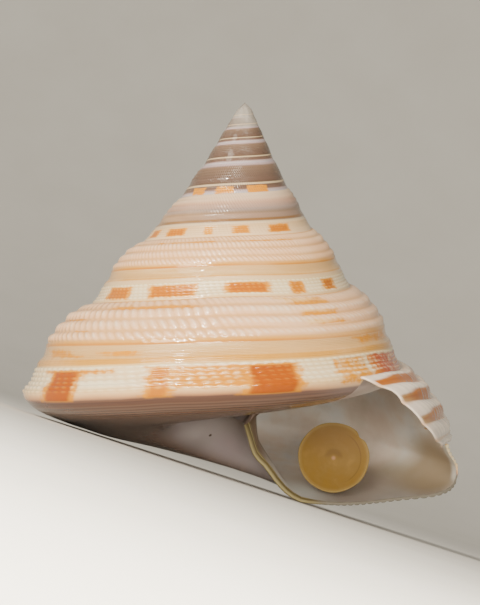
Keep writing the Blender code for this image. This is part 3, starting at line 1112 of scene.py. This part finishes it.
def painted_wall(tree, at, hues):
    """Ground, ragged orange blocks, and stripes at the lip. The crests of the cords are a little paler, a
    painted highlight.
    """
    threads = swing(tree, growth_noise(tree, at.growth, 14.0, 34.0), 0.6)
    edge = reckon(tree, "ADD", reckon(tree, "ADD", at.flame, at.ragged), threads)
    block = spread(tree, edge, 0.30, 0.72)
    painted = mix_colour(tree, block, ground_colour(tree, at, hues), block_colour(tree, at, hues))
    first = times(tree, fade(tree, at.across, 0.09, 0.10), 0.03)
    behind = spread(tree, reckon(tree, "ADD", at.turn, first), 0.0, 0.032)
    stripe = mix_colour(tree, behind, "B08A5A", hues.stripe)
    painted = mix_colour(tree, spread(tree, at.stain, 0.2, 0.7), painted, stripe)
    painted = laid(tree, painted, "9A4A0A", spread(tree, at.stain, 0.75, 1.0), 0.45)
    # Paler tips on the cords' crests: a painted highlight.
    crest = times(tree, spread(tree, at.cord, 0.55, 1.0), at.young)
    return laid(tree, painted, "F8ECD8", crest, fade(tree, at.stain, 0.05, 0.4), 0.38)


def base_colour(tree, at):
    """The mauve base with its pale threads, glazed with callus near the middle, where there is one small dark
    pit. The pit's dark spot and the dark brown by the mouth's corner at the columella are painted shade, and
    the base's ground carries painted shade too."""
    share = reckon(tree, "DIVIDE", at.across, BASE_END)
    beneath = shades(tree, stops_to(BASE_END, BASE_WALL), share)
    matt = fade(tree, at.across, 2.2, 2.7)
    beneath = laid(tree, beneath, "745444", spread(tree, at.swirl, 0.4, 0.68), matt)
    beneath = laid(tree, beneath, "84644F", spread(tree, at.cord, 0.3, 0.9), matt, 0.55)
    beneath = laid(tree, beneath, "72695D", fade(tree, at.turn, 0.105, 0.14), 0.75)
    beneath = laid(tree, beneath, "86706A", spread(tree, at.turn, 0.87, 0.925), matt, 0.8)
    arcs = spread(tree, growth_noise(tree, at.growth, 70.0, 1.5), 0.5, 0.7)
    beneath = laid(tree, beneath, "B49C8C", arcs, band(tree, at.across, 2.3, 2.8, 0.2), 0.45)
    beneath = laid(tree, beneath, "A89E9E", spot(tree, at, *BASE_MIDDLE), 0.7)
    # Dark brown by the mouth's corner at the columella: painted shade.
    shade_by_mouth = spread(tree, at.turn, 0.88, 0.915)
    beneath = laid(tree, beneath, "5A463A", shade_by_mouth, spread(tree, at.across, 2.5, 2.8), 0.85)
    # The small pit's dark spot: painted shade.
    beneath = laid(tree, beneath, "4A3A34", spot(tree, at, *PIT_SHADE))
    return laid(tree, beneath, "8E8084", spot(tree, at, *BY_COLUMELLA), 0.6)


def edge_colour(tree, at, beneath):
    """The rounded edge of the lip below the slit, olive along the columella with a paler line down its
    middle. The paler line is a painted highlight, and the edge's darker olive is partly its own colour and
    partly painted shade."""
    start, width = SLIT_LAG / 360.0, LIP_TURNS * LIP_STEP / 360.0
    inner = spread(tree, at.across, 2.45, 2.7)
    on_edge = reckon(tree, "LESS_THAN", at.turn, start + width)
    beneath = laid(tree, beneath, "6E5A34", band(tree, at.turn, 0.105, 0.17, 0.003), inner, 0.8)
    beneath = laid(tree, beneath, "7C766B", on_edge, fade(tree, at.across, 2.45, 2.7))
    # Darker olive on the columella's rounded edge: partly its own colour, partly painted shade.
    beneath = laid(tree, beneath, "54482E", on_edge, inner)
    # A paler line down the middle of the rounded edge: a painted highlight.
    middle_highlight = band(tree, at.turn, start + 0.3 * width, start + 0.6 * width, 0.2 * width)
    return laid(tree, beneath, "A4986E", middle_highlight, inner)


def grown_grain(tree, at, base):
    """Fine growth lines, swirls and threads as a bump. Beads of the upper turns are too fine to model and
    are drawn here. The threads of the smooth band are drawn coarser than they are, or they wouldn't show."""
    grain = times(tree, at.lines, 0.6)
    beads = reckon(tree, "ADD", waves(tree, at.turn, BEADS_ABOVE), waves(tree, at.across, ROWS_ABOVE))
    on_band = times(tree, waves(tree, at.across, BAND_THREADS), band(tree, at.across, 0.50, 0.72, 0.01))
    for part in (
        times(tree, at.swirl, base, 0.1),
        times(tree, beads, spread(tree, at.turn, 2.6, 3.2), 0.5),
        times(tree, on_band, 0.6),
    ):
        grain = reckon(tree, "ADD", grain, part)
    settings = {"Strength": 0.5, "Distance": 0.06 * MM}
    return add_node(tree, "ShaderNodeBump", settings, {"Height": grain}).outputs[0]


def set_shader(shader, **values):
    """Sets the shader's own sockets, named with underscores for spaces."""
    for name, value in values.items():
        shader.inputs[name.replace("_", " ")].default_value = value


def grown_aragonite(hues):
    """Aragonite laid down by the mantle and never polished: a hard porcelain gloss that sparkles on every
    bead, cream and pink with a little depth, and colour that was laid in blocks along the growing edge."""
    made, tree, shader = new_material("grown_aragonite")
    at = shell_maps(tree)
    base = spread(tree, at.across, 1.09, 1.13)
    beneath = edge_colour(tree, at, base_colour(tree, at))
    rough = add_node(tree, "ShaderNodeMapRange", {"To Min": 0.09, "To Max": 0.24}, {"Value": at.speckle})
    tree.links.new(mix_colour(tree, base, painted_wall(tree, at, hues), beneath), shader.inputs["Base Color"])
    tree.links.new(rough.outputs[0], shader.inputs["Roughness"])
    tree.links.new(grown_grain(tree, at, base), shader.inputs["Normal"])
    set_shader(shader, Specular_IOR_Level=0.35, Coat_Weight=0.3, Coat_Roughness=0.05)
    set_shader(shader, Subsurface_Weight=0.06, Subsurface_Radius=(1.0, 0.6, 0.45), Subsurface_Scale=0.5 * MM)
    return made


def roof_colour(tree, at):
    """The mouth's roof, with the pale callus that comes in from its outer corner. Its darker ends, under the
    rim and by the columella, carry painted shade.
    """
    shade = shades(tree, ROOF, reckon(tree, "DIVIDE", at.across, BASE_END))
    return mix_colour(tree, spread(tree, at.turn, 0.925, 0.98), "A08A82", shade)


def nacre(hues):
    """Mother of pearl laid in thin sheets: smooth, grey-white, with a faint play of pink and green. It is
    darker deep inside, which is painted shade, has a pale patch on its floor that is partly a painted
    highlight, is tan in a patch by the outer corner that is partly painted shade, and is white along the lip."""
    made, tree, shader = new_material("nacre")
    at = shell_maps(tree)
    pearl = [(0.30, "D6C6BA"), (0.45, "DED2C8"), (0.58, "E2DEDA"), (0.70, "DCDEE0")]
    colour = shades(tree, pearl, noise(tree, at.place, 7.0))
    streaks = noise(tree, at.place, 2.2, (1.0, 0.4, 1.0))
    colour = laid(tree, colour, "C4BAAA", spread(tree, streaks, 0.5, 0.75), 0.3)
    # Darker over the mouth's floor and in a spot deep inside: painted shade.
    colour = laid(tree, colour, "A0968C", spread(tree, at.across, 1.7, 2.4), 0.45)
    colour = laid(tree, colour, "54443A", spot(tree, at, *DEEP_INSIDE_SHADE), 0.85)
    outer_side = fade(tree, at.turn, 0.14, 0.26)
    colour = laid(tree, colour, "766A62", spread(tree, at.across, 1.25, 1.6), outer_side, 0.7)
    # A pale bluish patch on the mouth's floor by the lid: partly the nacre's own colour, partly a painted
    # highlight.
    colour = laid(tree, colour, "E4EAE8", spot(tree, at, *MOUTH_FLOOR_PALE_HIGHLIGHT), 0.6)
    # The tan patch by the outer corner is partly the wall's colour showing through and partly painted shade;
    # the darker spot beside it is painted shade.
    colour = laid(tree, colour, hues.beige, spot(tree, at, *OUTER_CORNER), 0.9)
    colour = laid(tree, colour, "8E7E62", spot(tree, at, *CORNER_SHADE), 0.7)
    colour = laid(tree, colour, LIP_WHITE, fade(tree, at.turn, 0.003, 0.010), 0.8)
    flank = band(tree, at.across, BAND_FOOT, 1.2, 0.06)
    colour = laid(tree, colour, LIP_WHITE, fade(tree, at.turn, 0.104, 0.110), flank, 0.9)
    colour = laid(tree, colour, roof_colour(tree, at), spread(tree, at.turn, 0.88, 0.92), 0.85)
    # Dark brown in the groove beside the columella's top: painted shade.
    corner = times(tree, spread(tree, at.across, 3.1, 3.5), fade(tree, at.turn, 0.15, 0.3))
    colour = laid(tree, colour, "5E4A34", corner, 0.75)
    tree.links.new(colour, shader.inputs["Base Color"])
    set_shader(shader, Roughness=0.36, Specular_IOR_Level=0.35)
    return made


def horn_colour(tree, hues, flat, across, up):
    """Yellow-brown with a soft mottle, a darker top that is painted shade, a ring line at the right, a thin
    rim and a pale middle."""
    out = add_node(tree, "ShaderNodeVectorMath", {"operation": "LENGTH"}, {"Vector": flat}).outputs["Value"]
    mottle = grain_of(tree, flat, (3.0, 3.0, 3.0), 4.0)
    right = spread(tree, across, 0.25, 0.6)
    colour = laid(tree, hues.horn, "785A1C", fade(tree, mottle, 0.3, 0.55))
    colour = laid(tree, colour, "8A6A30", spread(tree, mottle, 0.45, 0.85), 0.7)
    # The darker top of the lid is painted shade.
    colour = laid(tree, colour, "6C4C12", spread(tree, up, -0.2, 0.7), 0.6)
    colour = laid(tree, colour, "7A5A16", spread(tree, out, 0.74, 0.80), right, 0.4)
    colour = laid(tree, colour, "4E380E", band(tree, out, 0.755, 0.785, 0.012), right, 0.5)
    colour = laid(tree, colour, "94804C", spread(tree, out, 0.88, 1.0), 0.5)
    over = times(tree, band(tree, out, 0.10, 0.26, 0.06), spread(tree, up, -0.05, 0.10))
    colour = laid(tree, colour, "5A400E", over, 0.55)
    return laid(tree, colour, "A87C60", fade(tree, out, 0.01, 0.09), 0.7)


def horn(hues):
    """Horny conchiolin, laid in a tight spiral: satin, yellow-brown, a little see-through at its thin
    rim."""
    made, tree, shader = new_material("horn")
    flat = add_node(tree, "ShaderNodeUVMap", {"uv_map": "disc"}).outputs[0]
    grit = grain_of(tree, flat, (30.0, 30.0, 30.0), 3.0)
    bump = add_node(tree, "ShaderNodeBump", {"Strength": 0.25, "Distance": 0.03 * MM}, {"Height": grit})
    tree.links.new(horn_colour(tree, hues, flat, *read_map(tree, "disc")), shader.inputs["Base Color"])
    tree.links.new(bump.outputs[0], shader.inputs["Normal"])
    set_shader(shader, Roughness=0.55, Specular_IOR_Level=0.25)
    set_shader(shader, Subsurface_Weight=0.1, Subsurface_Radius=(1.0, 0.5, 0.15), Subsurface_Scale=0.5 * MM)
    return made


def floor_paper():
    """Matt coated paper: an even pale sheet with no sheen."""
    made, tree, shader = new_material("floor_paper")
    fibre = noise(tree, add_node(tree, "ShaderNodeTexCoord").outputs["Object"], 40.0)
    tree.links.new(shades(tree, [(0.3, "CFCDC8"), (0.7, "D4D2CE")], fibre), shader.inputs["Base Color"])
    set_shader(shader, Roughness=0.85)
    return made


class SHELL_OT_grow(bpy.types.Operator):
    """Grows the shell's wall, lip, base and pearly inside as one closed piece"""

    bl_idname = "shell.grow"
    bl_label = "Grow the shell"

    def execute(self, context):
        sizes = context.scene.shell_sizes
        bm = bmesh.new()
        bm.verts.layers.float.new("across")
        bm.verts.layers.float.new("back")
        grow_shell(bm, sizes)
        write_growth(bm)
        bmesh.ops.remove_doubles(bm, verts=bm.verts, dist=WELD)
        close_holes(bm)
        hues = context.scene.shell_colours
        piece = finish_piece(bm, "shell_wall", shell_place(), [grown_aragonite(hues), nacre(hues)], "shell")
        paint(piece.data, sizes.groove)
        return {"FINISHED"}


# The lid: its size, how deep its dish is, where it stands and how far it leans back.
LID_RADIUS = 4.95
LID_THICKNESS = 0.45
LID_DISH = 0.55
LID_CENTRE = (15.3, 4.2, -50.05)
LID_LEAN = 17.0
LID_RINGS = 40
LID_STEPS = 144
# The lid's edge, as (share of its radius, how far below its face), and the places that shape its back.
LID_EDGE = [(1.008, 0.12), (0.99, 0.25)]
LID_BACK = (0.9, 0.6, 0.3, 0.0)
# Waves of the lid's outline: (how many, how high, where they begin).
LID_WAVES = [(3, 0.006, 0.6), (7, 0.005, 0.0)]
# The lid's spiral: how many turns of it there are, and how high its ridges stand.
LID_TURNS = 7.0
LID_RIDGE = 0.014
# The chip in the lid's edge: where it is, how wide and how deep.
CHIP_ANGLE = 41.0
CHIP_WIDTH = 7.0
CHIP_DEPTH = 0.06


def lid_outline(angle):
    """The lid isn't a true round: it waves a little, and there is a chip in its edge."""
    wave = sum(high * math.sin(count * angle + begin) for count, high, begin in LID_WAVES)
    off = (math.degrees(angle) - CHIP_ANGLE + 180.0) % 360.0 - 180.0
    return 1.0 + wave - CHIP_DEPTH * math.exp(-((off / CHIP_WIDTH) ** 2))


def lid_ridge(share, angle):
    """Height of the spiral ridges. Each coil is a slope up to a sharp little step."""
    phase = (LID_TURNS * share**0.8 - angle / math.tau) % 1.0
    return LID_RIDGE * phase**2 * min(1.0, 6.0 * share) * (1.0 - 0.6 * share)


def grow_lid(bm):
    """A thin dish spun from its section, then given its outline and its spiral."""
    face = [(share, LID_DISH * share**2) for share in np.linspace(0.0, 1.0, LID_RINGS)]
    edge = [(share, LID_DISH - below) for share, below in LID_EDGE]
    back = [(share, LID_DISH * share**2 - LID_THICKNESS) for share in LID_BACK]
    verts = [bm.verts.new((LID_RADIUS * share, 0.0, height)) for share, height in face + edge + back]
    edges = [bm.edges.new(pair) for pair in zip(verts, verts[1:])]
    bmesh.ops.spin(
        bm,
        geom=verts + edges,
        axis=(0, 0, 1),
        cent=(0, 0, 0),
        dvec=(0, 0, 0),
        angle=math.tau,
        steps=LID_STEPS,
        use_merge=True,
        use_duplicate=False,
    )
    bmesh.ops.remove_doubles(bm, verts=bm.verts, dist=WELD)
    for vert in bm.verts:
        radius, angle = math.hypot(vert.co.x, vert.co.y), math.atan2(vert.co.y, vert.co.x)
        share = min(1.0, radius / LID_RADIUS)
        if vert.co.z > LID_DISH * share * share - WELD:
            vert.co.z += lid_ridge(share, angle)
        scale = 1.0 + (lid_outline(angle) - 1.0) * share**4
        vert.co.x *= scale
        vert.co.y *= scale
    disc = bm.loops.layers.uv.new("disc")
    for face in bm.faces:
        for loop in face.loops:
            loop[disc].uv = (loop.vert.co.x / LID_RADIUS, loop.vert.co.y / LID_RADIUS)


class SHELL_OT_lid(bpy.types.Operator):
    """Turns the horny lid that stands in the mouth"""

    bl_idname = "shell.lid"
    bl_label = "Turn the lid"

    def execute(self, context):
        bm = bmesh.new()
        grow_lid(bm)
        upright = Matrix.Rotation(math.radians(90.0 - LID_LEAN), 4, "X")
        place = shell_place() @ Matrix.Translation(LID_CENTRE) @ upright
        finish_piece(bm, "horny_lid", place, [horn(context.scene.shell_colours)], "operculum")
        return {"FINISHED"}


# The photograph's view of the shell: how far over its own level, how far its axis leans to the right, how
# far away, and what the view is centred on, to the right of the axis and over a place on it.
VIEW_UP = 2.0
VIEW_ROLL = 3.43
VIEW_DISTANCE = 380.0
VIEW_CENTRE = (1.11, 2.47)
VIEW_ON_AXIS = -31.52
MM_PER_PIXEL = 0.138
IMAGE_HEIGHT = 605
SENSOR = 36.0


def view_axes(place):
    """Right, up and away, as the photograph sees the shell."""
    level, roll = math.radians(VIEW_UP), math.radians(VIEW_ROLL)
    turn = place.to_3x3().normalized()
    away = turn @ Vector((0.0, math.cos(level), -math.sin(level)))
    axis = turn @ Vector((0.0, 0.0, 1.0))
    axis = (axis - axis.dot(away) * away).normalized()
    side = away.cross(axis)
    right = math.sin(roll) * axis + math.cos(roll) * side
    return right, right.cross(away), away


def aim_camera(place):
    """Puts the camera where the photograph was taken from."""
    right, up, away = view_axes(place)
    middle = place @ Vector((0.0, 0.0, VIEW_ON_AXIS)) + (right * VIEW_CENTRE[0] + up * VIEW_CENTRE[1]) * MM
    data = bpy.data.cameras.new("photo_camera")
    data.sensor_width = SENSOR
    data.lens = VIEW_DISTANCE / MM_PER_PIXEL * SENSOR / IMAGE_HEIGHT
    data.clip_start = 10.0 * MM
    camera = bpy.data.objects.new("photo_camera", data)
    turned = Matrix((right, up, -away)).transposed().to_4x4()
    camera.matrix_world = Matrix.Translation(middle - away * VIEW_DISTANCE * MM) @ turned
    bpy.context.scene.collection.objects.link(camera)
    bpy.context.scene.camera = camera


# The key light is a broad sun. Its direction is from the shell, in the photograph's right, up and nearer.
SUN_FROM = (-0.75, 0.85, 0.70)
SUN_POWER = 2.1
SUN_SPREAD = 22.0
LIGHT_COLOUR = "FFF6E4"

# Soft lights, placed in the photograph's own directions: (name, right, up, nearer, size, watts), in metres.
LIGHTS = [
    ("front", -0.06, 0.06, 0.38, 0.12, 1.6),
    ("low", 0.06, -0.01, 0.36, 0.11, 1.1),
    ("sparkle", -0.18, 0.28, 0.32, 0.012, 1.9),
]
STUDIO_STRENGTH = 0.36
STUDIO_COLOUR = "F4EEE2"

# The floor, and the backdrop that it curves up into, in metres.
FLOOR_FRONT = -1.5
FLOOR_BACK = 0.9
FLOOR_HALF_WIDTH = 2.0
SWEEP_RADIUS = 0.5
SWEEP_STEPS = 24
BACKDROP_TOP = 2.5


def add_light(name, kind, where, target, power):
    """A lamp that looks at a target. Returns its settings."""
    data = bpy.data.lights.new(name, kind)
    data.energy = power
    data.color = hex_colour(LIGHT_COLOUR)[:3]
    light = bpy.data.objects.new(name, data)
    turned = (target - where).to_track_quat("-Z", "Y").to_matrix().to_4x4()
    light.matrix_world = Matrix.Translation(where) @ turned
    bpy.context.scene.collection.objects.link(light)
    return data


def add_lights(place):
    """The sun and the soft lights, all turned to the middle of the shell."""
    right, up, away = view_axes(place)
    target = place @ Vector((0.0, 0.0, VIEW_ON_AXIS))

    def beside(aside, over, nearer):
        return target + right * aside + up * over - away * nearer

    add_light("key", "SUN", beside(*SUN_FROM), target, SUN_POWER).angle = math.radians(SUN_SPREAD)
    for name, *where, size, power in LIGHTS:
        add_light(name, "AREA", beside(*where), target, power).size = size


def pull_out(bm, edges, by):
    """A strip of faces pulled out of some edges. Returns its far edges."""
    pulled = bmesh.ops.extrude_edge_only(bm, edges=edges)["geom"]
    verts = [item for item in pulled if isinstance(item, bmesh.types.BMVert)]
    bmesh.ops.translate(bm, verts=verts, vec=by)
    edges = [item for item in pulled if isinstance(item, bmesh.types.BMEdge)]
    return [edge for edge in edges if all(vert in verts for vert in edge.verts)]


def add_floor():
    """A pale sheet of paper that lies under the shell and curves up far behind it."""
    bm = bmesh.new()
    corners = [bm.verts.new((FLOOR_HALF_WIDTH * side, FLOOR_FRONT, 0.0)) for side in (-1, 1)]
    far = pull_out(bm, [bm.edges.new(corners)], (0.0, FLOOR_BACK - FLOOR_FRONT, 0.0))
    bend = bmesh.ops.spin(
        bm,
        geom=far + [vert for edge in far for vert in edge.verts],
        axis=(1, 0, 0),
        cent=(0, FLOOR_BACK, SWEEP_RADIUS),
        dvec=(0, 0, 0),
        angle=math.pi / 2,
        steps=SWEEP_STEPS,
        use_merge=False,
        use_duplicate=False,
    )["geom_last"]
    top = [item for item in bend if isinstance(item, bmesh.types.BMEdge)]
    pull_out(bm, top, (0.0, 0.0, BACKDROP_TOP - SWEEP_RADIUS))
    mesh = bpy.data.meshes.new("floor")
    bm.to_mesh(mesh)
    bm.free()
    mesh.shade_smooth()
    mesh.materials.append(floor_paper())
    floor = bpy.data.objects.new("floor", mesh)
    bpy.context.scene.collection.objects.link(floor)


def add_studio():
    """An even, pale studio all round."""
    world = bpy.data.worlds.new("studio")
    world.use_nodes = True
    background = world.node_tree.nodes["Background"]
    background.inputs["Color"].default_value = hex_colour(STUDIO_COLOUR)
    background.inputs["Strength"].default_value = STUDIO_STRENGTH
    bpy.context.scene.world = world


class SHELL_OT_stage(bpy.types.Operator):
    """Lays the pale floor and sets the soft lights and the camera"""

    bl_idname = "shell.stage"
    bl_label = "Set the stage"

    def execute(self, context):
        place = shell_place()
        add_floor()
        aim_camera(place)
        add_lights(place)
        add_studio()
        return {"FINISHED"}


class SHELL_PT_panel(bpy.types.Panel):
    """Lists the shell's operators in the sidebar"""

    bl_idname = "SHELL_PT_panel"
    bl_label = "Slit shell"
    bl_space_type = "VIEW_3D"
    bl_region_type = "UI"
    bl_category = "Shell"

    def draw(self, context):
        for operator in OPERATORS:
            self.layout.operator(operator.bl_idname)


OPERATORS = (SHELL_OT_grow, SHELL_OT_lid, SHELL_OT_stage)
CLASSES = (ShellSizes, ShellColours, *OPERATORS, SHELL_PT_panel)


def register():
    """Makes the add-on known to the program."""
    for cls in CLASSES:
        bpy.utils.register_class(cls)
    bpy.types.Scene.shell_sizes = PointerProperty(type=ShellSizes)
    bpy.types.Scene.shell_colours = PointerProperty(type=ShellColours)


def unregister():
    """Takes the add-on away again."""
    del bpy.types.Scene.shell_colours
    del bpy.types.Scene.shell_sizes
    for cls in reversed(CLASSES):
        bpy.utils.unregister_class(cls)


def main():
    """Builds the whole scene."""
    register()
    bpy.ops.shell.grow()
    bpy.ops.shell.lid()
    bpy.ops.shell.stage()


if __name__ == "__main__":
    main()
